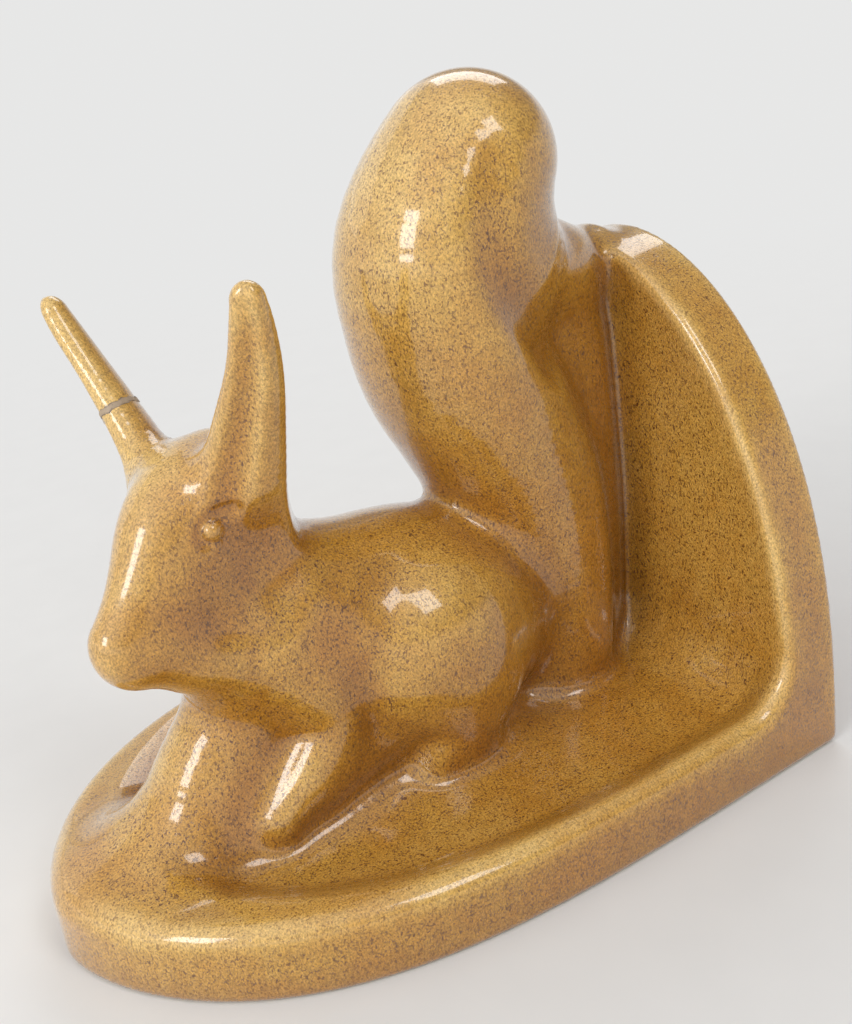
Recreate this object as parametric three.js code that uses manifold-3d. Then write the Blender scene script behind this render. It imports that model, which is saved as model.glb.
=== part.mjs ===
// A glazed stoneware bookend: a crouching squirrel with a tall tail, luted to an L of base and back slab.
// Millimetres, +Z up. The origin is on the ground under the middle of the base. The squirrel looks along -X,
// and books lean on the flat back of the slab, which faces +X. -Y is the squirrel's left.

import * as THREE from 'three';
import { mergeVertices } from 'three/addons/utils/BufferGeometryUtils.js';
import Module from 'manifold-3d';

const wasm = await Module();
wasm.setup();

// Base plate and back slab

const baseLength = 168;
const baseWidth = 120;
const baseThickness = 17;
const slabHeight = 117;
const slabThickness = 16;
const edgeRound = 1.5;         // softened edges of both
const rimWidth = 3;            // raised border left round both hollowed faces
const panDepth = 4;            // how deep those faces are hollowed
const panSlope = 9;            // width of the rounded side of a hollow
const panFrontMargin = 22;     // solid front of the base plate, ahead of its hollow
const baseFullness = { along: 4.5, across: 1.6 };
const slabFullness = { along: 2.25, across: 1.8 };

// Castings: wall of the hollow ones, air hole into each hollow, and the slip between two neighbours

const clayWall = 5.5;
const ventRadius = 1.8;
const lutingGap = 0.3;

// Sections of the squirrel. ahead and up are measured from the inner corner of the L, at the level of the rims.
// wide is the half-width across the section, deep its half-depth in the plane in which the sweep bends.

const trunkSections = [
  { ahead: 37, up: 18, wide: 17, deep: 19 },
  { ahead: 46, up: 22, wide: 23, deep: 25 },
  { ahead: 59, up: 24.5, wide: 26, deep: 27.5 },
  { ahead: 73, up: 26, wide: 25.5, deep: 27 },
  { ahead: 87, up: 28, wide: 21, deep: 24 },
  { ahead: 99, up: 29, wide: 16.5, deep: 21 },
  { ahead: 109, up: 31, wide: 13, deep: 16 },
];
const trunkCap = 11;

const neckSections = [
  { ahead: 80, up: 30, wide: 18, deep: 18 },
  { ahead: 90, up: 41, wide: 17, deep: 16 },
  { ahead: 100, up: 54, wide: 14.5, deep: 13.5 },
  { ahead: 105, up: 62, wide: 13, deep: 12 },
];
const neckCap = 8;

const bellySections = [
  { ahead: 52, up: 8, wide: 13, deep: 14 },
  { ahead: 70, up: 7, wide: 13, deep: 15 },
  { ahead: 84, up: 4, wide: 15, deep: 14 },
  { ahead: 95, up: 2, wide: 16, deep: 13 },
  { ahead: 106, up: 0, wide: 15, deep: 11 },
];
const bellyCap = 8;

// The ground swells up under the body and runs out ahead of the chest

const moundSections = [
  { ahead: 46, up: -8, wide: 15, deep: 8 },
  { ahead: 60, up: -5, wide: 18, deep: 9 },
  { ahead: 78, up: -3, wide: 18, deep: 10 },
  { ahead: 96, up: -5, wide: 17, deep: 10 },
  { ahead: 110, up: -9, wide: 15, deep: 7.5 },
];
const moundCap = 8;

const chestSections = [
  { ahead: 92, up: 14, wide: 11, deep: 16 },
  { ahead: 106, up: 12, wide: 12, deep: 17 },
  { ahead: 118, up: 4, wide: 16, deep: 15 },
  { ahead: 130, up: -4, wide: 21, deep: 11 },
  { ahead: 143, up: -10, wide: 21, deep: 6 },
];
const chestCap = 6;

const haunchCentre = { ahead: 61, side: 15, up: 24 };
const haunchRadii = { along: 23, side: 15, up: 20 };

const tailSections = [
  { ahead: 23, up: -10, wide: 18, deep: 16 },
  { ahead: 22, up: 8, wide: 19, deep: 17 },
  { ahead: 22, up: 28, wide: 20, deep: 18 },
  { ahead: 25.5, up: 50, wide: 21.5, deep: 19.5 },
  { ahead: 33, up: 68, wide: 23, deep: 20 },
  { ahead: 38, up: 79, wide: 23.5, deep: 19.5 },
  { ahead: 39.5, up: 91, wide: 24, deep: 20 },
  { ahead: 38, up: 106, wide: 23, deep: 21.5 },
  { ahead: 29, up: 122, wide: 20.5, deep: 18.5 },
  { ahead: 16, up: 139, wide: 15, deep: 15 },
];
const tailCap = 15;

// Behind the tail, a lobe runs back to the top of the slab and a web closes the rest of the gap

const lobeSections = [
  { ahead: 26, up: 110, wide: 20, deep: 15 },
  { ahead: 18, up: 99, wide: 16.5, deep: 13 },
  { ahead: 9, up: 94, wide: 12, deep: 10 },
  { ahead: 0, up: 92.5, wide: 9, deep: 6.5 },
];
const lobeCap = 4;

const webSections = [
  { ahead: 8, up: -6, wide: 8, deep: 10 },
  { ahead: 6, up: 30, wide: 8, deep: 10 },
  { ahead: 6, up: 55, wide: 8, deep: 11 },
  { ahead: 8, up: 75, wide: 8.5, deep: 13 },
  { ahead: 12, up: 94, wide: 9, deep: 14 },
];
const webCap = 8;

// Limbs on one side, mirrored for the other. side is the distance from the middle plane.

const forelegSections = [
  { ahead: 90, side: 12, up: 27, wide: 7, deep: 7 },
  { ahead: 95, side: 16, up: 17, wide: 6, deep: 6 },
  { ahead: 102, side: 17, up: 8, wide: 4.5, deep: 4.5 },
  { ahead: 110, side: 16, up: 1, wide: 4, deep: 3.5 },
];
const forelegCap = 4;

const hindFootSections = [
  { ahead: 54, side: 16, up: 3, wide: 6, deep: 5 },
  { ahead: 64, side: 19, up: 4, wide: 6.5, deep: 5.5 },
  { ahead: 74, side: 19, up: 4, wide: 5, deep: 4.5 },
];
const hindFootCap = 5;

// Head, in its own frame at the middle of the skull, turned on the neck

const skull = { ahead: 105, up: 67 };
const headYaw = 15;            // degrees turned to the squirrel's left
const headTilt = 6;            // degrees leaning to the squirrel's right

const headSections = [
  { ahead: -17, up: 0, wide: 9, deep: 11 },
  { ahead: -8, up: 0.5, wide: 12.5, deep: 15.5 },
  { ahead: 1, up: -3, wide: 12, deep: 16.5 },
  { ahead: 9, up: -9.8, wide: 9.8, deep: 14.2 },
  { ahead: 16, up: -14.4, wide: 8, deep: 11.1 },
  { ahead: 23, up: -16.5, wide: 7, deep: 9.4 },
  { ahead: 30, up: -18.5, wide: 5.4, deep: 6.8 },
];
const headBackCap = 9;
const headNoseCap = 7;

const throatSections = [
  { ahead: 22, up: -16.5, wide: 6, deep: 5 },
  { ahead: 14.5, up: -22.5, wide: 8.5, deep: 7.5 },
  { ahead: 5, up: -28, wide: 9, deep: 9 },
  { ahead: -5, up: -33, wide: 8, deep: 9 },
];
const throatCap = 4;

const eyeCentre = { ahead: 7, side: 10, up: 2.6 };
const eyeRadius = 2.6;

const earSections = [
  { ahead: -4, side: 6, up: -6, wide: 8, deep: 6 },
  { ahead: -3.5, side: 11.5, up: 4, wide: 8.5, deep: 6.5 },
  { ahead: -3.5, side: 18.5, up: 17, wide: 6.8, deep: 5.4 },
  { ahead: -3.2, side: 25, up: 29, wide: 5, deep: 4.2 },
  { ahead: -2.2, side: 29.2, up: 39, wide: 3.8, deep: 3.3 },
  { ahead: -1.6, side: 31, up: 46, wide: 2.6, deep: 2.4 },
];
const earTipCap = 4;
const earTurn = 41;            // degrees that the broad side of an ear faces outward from straight ahead

// The right ear broke off here and was glued on again

const earJointUp = 30.5;         // distance of the join along the ear from its root
const glueThickness = 1.4;
const glueProud = 0.25;        // the squeezed-out glue stands this far off the ear

// Facets

const outlineSteps = 26;
const panSteps = 18;
const bodySides = 22;
const bodyRings = 14;
const joinRings = 7;
const limbSides = 12;
const limbRings = 6;
const eyeSides = 10;
const hollowSides = 12;
const hollowRings = 8;

// Finishes

const glazed = () => new THREE.MeshStandardMaterial({ color: 0xb98a45, roughness: 0.18, metalness: 0 });
const dried = () => new THREE.MeshStandardMaterial({ color: 0x9a8f80, roughness: 0.5, metalness: 0 });

// Solids from geometries, and geometries from solids

function solid(geometry) {
  const bare = geometry.clone();
  bare.deleteAttribute('normal');
  bare.deleteAttribute('uv');
  const merged = mergeVertices(bare, 1e-4);
  return new wasm.Manifold(new wasm.Mesh({
    numProp: 3,
    vertProperties: new Float32Array(merged.attributes.position.array),
    triVerts: new Uint32Array(merged.index.array),
  }));
}

function geometryOf(manifold) {
  const mesh = manifold.getMesh();
  const geometry = new THREE.BufferGeometry();
  geometry.setAttribute('position', new THREE.BufferAttribute(new Float32Array(mesh.vertProperties), 3));
  geometry.setIndex(new THREE.BufferAttribute(new Uint32Array(mesh.triVerts), 1));
  geometry.computeVertexNormals();
  return geometry;
}

function cut(geometry, ...cutters) {
  return geometryOf(cutters.reduce((rest, cutter) => rest.subtract(solid(cutter)), solid(geometry)));
}

function join(first, ...others) {
  return geometryOf(others.reduce((sum, other) => sum.add(solid(other)), solid(first)));
}

// Places and section lists in three.js axes: ahead runs along -X, and the left side lies along -Y

const leftSide = -1;
const rightSide = 1;
const acrossBody = new THREE.Vector3(0, 1, 0);

const place = ({ ahead, up, side = 0 }, hand = rightSide) => new THREE.Vector3(-ahead, hand * side, up);

const stations = (sections, hand) => sections.map((section) => ({
  at: place(section, hand),
  wide: section.wide,
  deep: section.deep,
}));

// A body swept along a smooth path through its stations. Each end is flat, or round over the length of its cap.
// grow moves the whole skin out, or in where it is negative. from and to pick a stretch of the path's length.

const pathOf = (list) => new THREE.CatmullRomCurve3(list.map((station) => station.at));

function sweep(list, { across, sides, rings, startCap = 0, endCap = 0, grow = 0, from = 0, to = 1 }) {
  const path = pathOf(list);
  const halves = new THREE.CatmullRomCurve3(list.map(({ wide, deep }) => new THREE.Vector3(wide, deep, 0)));
  const length = path.getLength();
  const capRings = 5;

  const marks = [];
  const addCapRing = (step, cap, direction) => {
    const angle = ((step + 0.4) / (capRings + 0.4)) * (Math.PI / 2);
    const inset = (cap * (1 - Math.cos(angle))) / length;
    marks.push({
      u: direction < 0 ? from + inset : to - inset,
      share: Math.sin(angle),
      shift: direction * grow * Math.cos(angle),
    });
  };
  if (startCap) for (let step = 0; step < capRings; step += 1) addCapRing(step, startCap, -1);
  const first = from + startCap / length;
  const last = to - endCap / length;
  for (let ring = 0; ring <= rings; ring += 1) {
    marks.push({ u: first + ((last - first) * ring) / rings, share: 1, shift: 0 });
  }
  if (endCap) for (let step = capRings - 1; step >= 0; step -= 1) addCapRing(step, endCap, 1);

  const points = [];
  marks.forEach(({ u, share, shift }) => {
    const t = path.getUtoTmapping(u);
    const along = path.getTangent(t);
    const centre = path.getPoint(t).addScaledVector(along, shift);
    const deepAxis = new THREE.Vector3().crossVectors(along, across).normalize();
    const wideAxis = new THREE.Vector3().crossVectors(deepAxis, along);
    const half = halves.getPoint(t);
    for (let side = 0; side < sides; side += 1) {
      const angle = (side / sides) * 2 * Math.PI;
      points.push(centre.clone()
        .addScaledVector(wideAxis, (half.x + grow) * share * Math.cos(angle))
        .addScaledVector(deepAxis, (half.y + grow) * share * Math.sin(angle)));
    }
  });
  const endPoint = (u, shift) => path.getPointAt(u).addScaledVector(path.getTangentAt(u), shift);
  points.push(endPoint(from, startCap ? -grow : 0), endPoint(to, endCap ? grow : 0));

  const index = [];
  const startPole = marks.length * sides;
  const lastRing = startPole - sides;
  for (let side = 0; side < sides; side += 1) {
    const next = (side + 1) % sides;
    index.push(startPole, next, side);
    index.push(startPole + 1, lastRing + side, lastRing + next);
    for (let ring = 0; ring < lastRing; ring += sides) {
      index.push(ring + side, ring + next, ring + sides + side);
      index.push(ring + next, ring + sides + next, ring + sides + side);
    }
  }
  const geometry = new THREE.BufferGeometry().setFromPoints(points);
  geometry.setIndex(index);
  geometry.computeVertexNormals();
  return geometry;
}

function ellipsoid(centre, radii, sides, grow = 0) {
  return new THREE.SphereGeometry(1, sides, Math.ceil(sides * 0.6))
    .scale(radii.x + grow, radii.y + grow, radii.z + grow)
    .translate(centre.x, centre.y, centre.z);
}

function airHole(from, to) {
  const path = new THREE.LineCurve3(from, to);
  const round = new THREE.Shape().absarc(0, 0, ventRadius, 0, 2 * Math.PI);
  return new THREE.ExtrudeGeometry(round, { extrudePath: path, steps: 1, curveSegments: 6 });
}

// A plate outline: straight sides from a flat end at the start, closing in a rounded tip at the reach.
// The inset moves all of it inward.

function tongue({ start, reach, halfWidth, fullness, steps }, inset) {
  const flat = start + inset;
  const tip = reach - inset;
  const points = [];
  for (let step = 0; step < steps; step += 1) {
    const distance = flat + (tip - flat) * Math.sin((step / steps) * (Math.PI / 2));
    const half = (halfWidth - inset) * (1 - (distance / tip) ** fullness.along) ** (1 / fullness.across);
    points.push(new THREE.Vector2(distance, half));
  }
  const mirrored = points.map(({ x, y }) => new THREE.Vector2(x, -y)).reverse();
  return [...points, new THREE.Vector2(tip, 0), ...mirrored];
}

// A solid of stacked outlines, each layer an inset at a height z, from the lowest layer to the highest

function stack(outline, layers) {
  const ring = ({ inset, z }) => tongue(outline, inset).map(({ x, y }) => new THREE.Vector3(x, y, z));
  const rings = layers.map(ring);
  const count = rings[0].length;
  const middle = (outline.start + outline.reach) / 2;
  const poles = [layers[0], layers[layers.length - 1]].map(({ z }) => new THREE.Vector3(middle, 0, z));
  const topPole = layers.length * count + 1;
  const bottomPole = topPole - 1;
  const topRing = (layers.length - 1) * count;
  const index = [];
  for (let point = 0; point < count; point += 1) {
    const next = (point + 1) % count;
    index.push(bottomPole, point, next);
    index.push(topPole, topRing + next, topRing + point);
    for (let start = 0; start < topRing; start += count) {
      index.push(start + point, start + count + point, start + next);
      index.push(start + next, start + count + point, start + count + next);
    }
  }
  const geometry = new THREE.BufferGeometry().setFromPoints([...rings.flat(), ...poles]);
  geometry.setIndex(index);
  geometry.computeVertexNormals();
  return geometry;
}

// A quarter round as layers: outward from the inset at the foot to no inset at the top
const quarterRound = (width, height, steps) => Array.from({ length: steps + 1 }, (_, step) => {
  const angle = (step / steps) * (Math.PI / 2);
  return { inset: width * (1 - Math.sin(angle)), z: -height * Math.cos(angle) };
});

function roundedPlate(outline, thickness) {
  const lower = quarterRound(edgeRound, edgeRound, 2);
  const upper = lower.map(({ inset, z }) => ({ inset, z: thickness - edgeRound - z })).reverse();
  return stack(outline, [...lower.map(({ inset, z }) => ({ inset, z: z + edgeRound })), ...upper]);
}

// A shallow dish below z = 0 of its own frame, with rounded sides
function dish(outline) {
  return stack(outline, [...quarterRound(panSlope, panDepth, 4), { inset: 0, z: edgeRound }]);
}

// Base plate. Its outline runs forward from the book face. grow raises its top for cutting neighbours.

const bookFace = baseLength / 2;
const ahead = new THREE.Vector3(-1, 0, 0);
const back = new THREE.Vector3(1, 0, 0);
const left = new THREE.Vector3(0, -1, 0);
const right = new THREE.Vector3(0, 1, 0);
const upward = new THREE.Vector3(0, 0, 1);

function baseBlock(grow = 0) {
  const lieFlat = new THREE.Matrix4().makeBasis(ahead, left, upward).setPosition(bookFace, 0, grow);
  const outline = {
    start: 0, reach: baseLength, halfWidth: baseWidth / 2, fullness: baseFullness, steps: outlineSteps,
  };
  const pan = {
    start: slabThickness + grow,
    reach: baseLength - panFrontMargin - grow,
    halfWidth: baseWidth / 2 - rimWidth - grow,
    fullness: baseFullness,
    steps: panSteps,
  };
  return cut(
    roundedPlate(outline, baseThickness).applyMatrix4(lieFlat),
    dish(pan).translate(0, 0, baseThickness).applyMatrix4(lieFlat),
  );
}

// Back slab, standing on the rim of the base plate with its outline running up

function slabBlock(grow = 0) {
  const frontFace = bookFace - slabThickness - grow;
  const stand = new THREE.Matrix4().makeBasis(upward, left, back).setPosition(frontFace, 0, 0);
  const faceForward = new THREE.Matrix4().makeBasis(upward, right, ahead).setPosition(frontFace, 0, 0);
  const foot = baseThickness + lutingGap;
  const outline = {
    start: foot, reach: slabHeight, halfWidth: baseWidth / 2, fullness: slabFullness, steps: outlineSteps,
  };
  const pan = {
    start: foot + rimWidth + grow,
    reach: slabHeight - rimWidth - grow,
    halfWidth: baseWidth / 2 - rimWidth - grow,
    fullness: slabFullness,
    steps: panSteps,
  };
  return cut(
    roundedPlate(outline, slabThickness).applyMatrix4(stand),
    dish(pan).applyMatrix4(faceForward),
  );
}

// The squirrel stands in the inner corner of the L

const squirrel = new THREE.Group();
squirrel.position.set(bookFace - slabThickness, 0, baseThickness);

const toSquirrel = (geometry) => geometry.translate(...squirrel.position.clone().negate().toArray());

const bodySweep = { across: acrossBody, sides: bodySides, rings: bodyRings };
const joinSweep = { across: acrossBody, sides: bodySides, rings: joinRings };
const limbSweep = { across: acrossBody, sides: limbSides, rings: limbRings };
const hollowSweep = { across: acrossBody, sides: hollowSides, rings: hollowRings, grow: -clayWall };

function torsoBody(grow = 0) {
  const { along, side, up } = haunchRadii;
  const radii = new THREE.Vector3(along, side, up);
  const haunch = (hand) => ellipsoid(place(haunchCentre, hand), radii, bodySides, grow);
  const roundEnded = (sections, cap, rings) => sweep(stations(sections), {
    ...rings, startCap: cap, endCap: cap, grow,
  });
  return join(
    roundEnded(trunkSections, trunkCap, bodySweep),
    roundEnded(neckSections, neckCap, joinSweep),
    roundEnded(bellySections, bellyCap, joinSweep),
    roundEnded(moundSections, moundCap, joinSweep),
    roundEnded(chestSections, chestCap, joinSweep),
    haunch(leftSide),
    haunch(rightSide),
  );
}

const torsoHollow = sweep(stations(trunkSections), { ...hollowSweep, startCap: trunkCap, endCap: trunkCap });

// The tail runs down into the base, so its hollow starts at the level of the rims
const tailStations = stations(tailSections);
const tailHollow = sweep(tailStations, {
  ...hollowSweep,
  startCap: tailCap,
  endCap: tailCap,
  from: -tailSections[0].up / pathOf(tailStations).getLength(),
});

// Air holes: from each hollow down through the base plate, and from the head into the torso

const underside = -baseThickness - edgeRound;
const straightDown = ({ ahead, up }) => airHole(place({ ahead, up }), place({ ahead, up: underside }));
const torsoVent = straightDown(trunkSections[4]);
const tailVent = straightDown(tailSections[2]);
const headVent = airHole(place(skull), place(trunkSections[4]));

// Everything on the squirrel is trimmed by what it is luted to

const baseCutter = toSquirrel(baseBlock(lutingGap));
const slabCutter = toSquirrel(slabBlock(lutingGap));
const torsoCutter = torsoBody(lutingGap);

const torso = cut(torsoBody(), baseCutter, torsoHollow, torsoVent, headVent);
const tailBody = join(
  sweep(tailStations, { ...bodySweep, endCap: tailCap }),
  sweep(stations(lobeSections), { ...joinSweep, startCap: lobeCap, endCap: lobeCap }),
  sweep(stations(webSections), { ...joinSweep, startCap: webCap, endCap: webCap }),
);
const tail = cut(tailBody, baseCutter, slabCutter, torsoCutter, tailHollow, tailVent);

function foreleg(hand) {
  const limb = sweep(stations(forelegSections, hand), { ...limbSweep, endCap: forelegCap });
  return cut(limb, torsoCutter, baseCutter);
}

function hindFoot(hand) {
  const ends = { startCap: hindFootCap, endCap: hindFootCap };
  const foot = sweep(stations(hindFootSections, hand), { ...limbSweep, ...ends });
  return cut(foot, torsoCutter, baseCutter);
}

// Head group

const head = new THREE.Group();
head.position.copy(place(skull));
head.rotation.set(
  -THREE.MathUtils.degToRad(headTilt), 0, THREE.MathUtils.degToRad(headYaw), 'ZXY',
);
head.updateMatrix();
const toHead = head.matrix.clone().invert();

const headEnds = { startCap: headBackCap, endCap: headNoseCap };
const throatEnds = { startCap: throatCap, endCap: throatCap };
const headBody = (grow = 0) => join(
  sweep(stations(headSections), { ...bodySweep, ...headEnds, grow }),
  sweep(stations(throatSections), { ...joinSweep, ...throatEnds, grow }),
);
const headHollow = sweep(stations(headSections), { ...hollowSweep, ...headEnds });

const headCutter = headBody(lutingGap);
const neckCutter = torsoCutter.clone().applyMatrix4(toHead);
const headCasting = cut(headBody(), neckCutter, headHollow, headVent.clone().applyMatrix4(toHead));

function ear(hand, { grow = 0, from = 0, to = 1, endCap = 0 } = {}) {
  const turn = THREE.MathUtils.degToRad(earTurn);
  const broad = new THREE.Vector3(-Math.sin(turn), -hand * Math.cos(turn), 0);
  return sweep(stations(earSections, hand), {
    ...limbSweep, across: broad, grow, from, to, endCap,
  });
}

function eye(hand) {
  const radii = new THREE.Vector3(eyeRadius, eyeRadius, eyeRadius);
  return cut(ellipsoid(place(eyeCentre, hand), radii, eyeSides), headCutter);
}

const earLength = pathOf(stations(earSections)).getLength();
const jointStart = earJointUp / earLength;
const jointEnd = (earJointUp + glueThickness) / earLength;
const jointGap = lutingGap / earLength;

const wholeEar = { endCap: earTipCap };
const earStub = { to: jointStart - jointGap };
const earTip = { from: jointEnd + jointGap, endCap: earTipCap };
const earGlue = { from: jointStart, to: jointEnd, grow: glueProud };

// Assembly

function node(name, geometry, material) {
  const mesh = new THREE.Mesh(geometry, material);
  mesh.name = name;
  return mesh;
}

head.add(
  node('head', headCasting, glazed()),
  node('left_ear', cut(ear(leftSide, wholeEar), headCutter, neckCutter), glazed()),
  node('right_ear_stub', cut(ear(rightSide, earStub), headCutter, neckCutter), glazed()),
  node('right_ear_tip', ear(rightSide, earTip), glazed()),
  node('ear_glue', ear(rightSide, earGlue), dried()),
  node('left_eye', eye(leftSide), glazed()),
  node('right_eye', eye(rightSide), glazed()),
);

squirrel.add(
  node('torso', torso, glazed()),
  node('tail', tail, glazed()),
  node('left_foreleg', foreleg(leftSide), glazed()),
  node('right_foreleg', foreleg(rightSide), glazed()),
  node('left_hind_foot', hindFoot(leftSide), glazed()),
  node('right_hind_foot', hindFoot(rightSide), glazed()),
  head,
);

const toBookend = (geometry) => geometry.clone().translate(...squirrel.position.toArray());
const basePlate = cut(baseBlock(), toBookend(torsoVent), toBookend(tailVent));

const bookend = new THREE.Group();
bookend.add(
  node('base_plate', basePlate, glazed()),
  node('back_slab', slabBlock(), glazed()),
  squirrel,
);

export default bookend;
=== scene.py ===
import math

import bpy
import numpy as np
import openvdb
from mathutils import Euler, Matrix, Vector


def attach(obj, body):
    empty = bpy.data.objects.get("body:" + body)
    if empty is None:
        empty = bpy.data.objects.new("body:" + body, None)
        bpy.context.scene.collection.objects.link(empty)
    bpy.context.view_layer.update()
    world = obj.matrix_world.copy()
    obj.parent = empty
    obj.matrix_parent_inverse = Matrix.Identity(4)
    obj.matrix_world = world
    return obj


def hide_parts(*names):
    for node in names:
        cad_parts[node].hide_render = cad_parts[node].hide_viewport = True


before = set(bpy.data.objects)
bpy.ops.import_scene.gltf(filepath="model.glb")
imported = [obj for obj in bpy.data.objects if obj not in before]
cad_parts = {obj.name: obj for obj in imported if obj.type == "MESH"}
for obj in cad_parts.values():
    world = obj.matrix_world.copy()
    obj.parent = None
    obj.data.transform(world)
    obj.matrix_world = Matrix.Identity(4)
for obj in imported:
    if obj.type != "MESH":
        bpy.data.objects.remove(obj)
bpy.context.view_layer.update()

mm = 0.001
leftSide = -1
rightSide = 1
farAway = 60.0  # mm, the distance given where a form has not been sampled
tiny = 1e-4     # keeps a division off zero
boxMargin = 3   # cells kept round a piece


# Sampled space. A form gives the distance in mm to its surface, below zero inside.

def sampledSpace(low, high, cell):
    axes = [np.arange(low[i], high[i] + cell, cell, dtype=np.float32) for i in range(3)]
    return {
        "axes": axes,
        "cell": cell,
        "low": np.array([axis[0] for axis in axes], dtype=np.float32),
        "shape": tuple(len(axis) for axis in axes),
    }


def openAxes(axes):
    return axes[0][:, None, None], axes[1][None, :, None], axes[2][None, None, :]


def sampled(space, form, pad=16.0):
    # only the window round the form is worked out, with a border wider than any blend
    window = []
    for i, axis in enumerate(space["axes"]):
        first = int(np.searchsorted(axis, form["low"][i] - pad))
        last = int(np.searchsorted(axis, form["high"][i] + pad))
        window.append(slice(first, last))
    axes = [axis[part] for axis, part in zip(space["axes"], window)]
    near = form["distance"](*openAxes(axes)).astype(np.float32)
    return {"window": tuple(window), "near": near}


def spread(space, *samples):
    field = np.full(space["shape"], farAway, dtype=np.float32)
    for sample in samples:
        window = sample["window"]
        field[window] = np.minimum(field[window], sample["near"])
    return field


def blended(a, b, radius):
    share = np.clip(0.5 + 0.5 * (b - a) / radius, 0.0, 1.0)
    return b * (1.0 - share) + a * share - radius * share * (1.0 - share)


def blendIn(field, sample, radius):
    window = sample["window"]
    field[window] = blended(field[window], sample["near"], radius)


def carveOut(field, sample, radius):
    window = sample["window"]
    field[window] = -blended(-field[window], sample["near"], radius)


def readAt(space, points, field):
    # values between the samples, at points in mm
    place = (points - space["low"]) / space["cell"]
    base = np.clip(np.floor(place).astype(int), 0, np.array(space["shape"]) - 2)
    share = place - base
    total = np.zeros(len(points))
    for corner in np.ndindex(2, 2, 2):
        weight = np.prod(np.where(corner, share, 1.0 - share), axis=1)
        total += weight * field[tuple((base + corner).T)]
    return total


def roundUnion(a, b, radius):
    u, v = np.maximum(radius - a, 0.0), np.maximum(radius - b, 0.0)
    return np.maximum(radius, np.minimum(a, b)) - np.hypot(u, v)


def roundMeet(a, b, radius):
    u, v = np.maximum(radius + a, 0.0), np.maximum(radius + b, 0.0)
    return np.minimum(-radius, np.maximum(a, b)) + np.hypot(u, v)


def easeStep(value):
    value = np.clip(value, 0.0, 1.0)
    return value * value * (3.0 - 2.0 * value)


def smoothPath(points, steps=5):
    # Catmull-Rom through the points, any number of columns
    points = np.asarray(points, dtype=np.float64)
    padded = np.vstack([2 * points[0] - points[1], points, 2 * points[-1] - points[-2]])
    samples = []
    for i in range(len(points) - 1):
        p0, p1, p2, p3 = padded[i:i + 4]
        for t in np.linspace(0.0, 1.0, steps, endpoint=False):
            curve = 2 * p1 + (p2 - p0) * t + (2 * p0 - 5 * p1 + 4 * p2 - p3) * t * t
            samples.append(0.5 * (curve + (3 * p1 - p0 - 3 * p2 + p3) * t ** 3))
    samples.append(points[-1])
    return np.array(samples)


def pathLengths(centre):
    return np.concatenate([[0.0], np.cumsum(np.linalg.norm(np.diff(centre, axis=0), axis=1))])


def sweepForm(stations, across, startCap=0.0, endCap=0.0):
    # stations are rows of x, y, z, half-width, half-depth. The caps shorten the axis and round the ends.
    samples = smoothPath(stations)
    lengths = pathLengths(samples[:, :3])
    inside = np.linspace(startCap, lengths[-1] - endCap, len(samples))
    samples = np.stack([np.interp(inside, lengths, column) for column in samples.T], 1)
    centre, half = samples[:, :3], samples[:, 3:].astype(np.float32)
    across = np.asarray(across, dtype=np.float64)
    last = len(centre) - 2
    flat = 1e-3
    caps = (max(startCap, flat), max(endCap, flat))

    def segmentGap(i, x, y, z):
        along = centre[i + 1] - centre[i]
        length = np.float32(np.linalg.norm(along))
        along = along / length
        deepAxis = np.cross(along, across)
        deepAxis = deepAxis / np.linalg.norm(deepAxis)
        wideAxis = np.cross(deepAxis, along)
        start = centre[i].astype(np.float32)
        dx, dy, dz = x - start[0], y - start[1], z - start[2]
        run, a, b = (dx * axis[0] + dy * axis[1] + dz * axis[2]
                     for axis in np.float32([along, wideAxis, deepAxis]))
        share = np.clip(run / length, 0.0, 1.0)
        over = run - share * length
        wide = half[i][0] + share * (half[i + 1][0] - half[i][0])
        deep = half[i][1] + share * (half[i + 1][1] - half[i][1])
        ends = over * over / (wide * deep)
        if i in (0, last):
            cap = np.where(over < 0, caps[0] if i == 0 else 1.0, caps[1] if i == last else 1.0)
            ends = over * over / (cap * cap)
        reach = np.sqrt(a * a / (wide * wide) + b * b / (deep * deep) + ends) + tiny
        outside = np.sqrt(a * a + b * b + over * over) * (1.0 - 1.0 / reach)
        return np.where(reach < 1.0, (reach - 1.0) * np.minimum(wide, deep), outside)

    def distance(x, y, z):
        nearest = segmentGap(0, x, y, z)
        for i in range(1, last + 1):
            nearest = np.minimum(nearest, segmentGap(i, x, y, z))
        return nearest

    widest = half.max()
    return {"distance": distance, "low": centre.min(0) - widest, "high": centre.max(0) + widest}


def ellipsoidForm(centre, radii, turn=None):
    centre, radii = np.asarray(centre, dtype=np.float32), np.asarray(radii, dtype=np.float32)
    axes = np.array(turn or Matrix.Identity(3), dtype=np.float32).T

    def distance(x, y, z):
        dx, dy, dz = x - centre[0], y - centre[1], z - centre[2]
        parts = [dx * axis[0] + dy * axis[1] + dz * axis[2] for axis in axes]
        reach = np.sqrt(sum((part / radius) ** 2 for part, radius in zip(parts, radii))) + tiny
        away = np.sqrt(dx * dx + dy * dy + dz * dz)
        return np.where(reach < 1.0, (reach - 1.0) * radii.min(), away * (1.0 - 1.0 / reach))

    return {"distance": distance, "low": centre - radii.max(), "high": centre + radii.max()}


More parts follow.
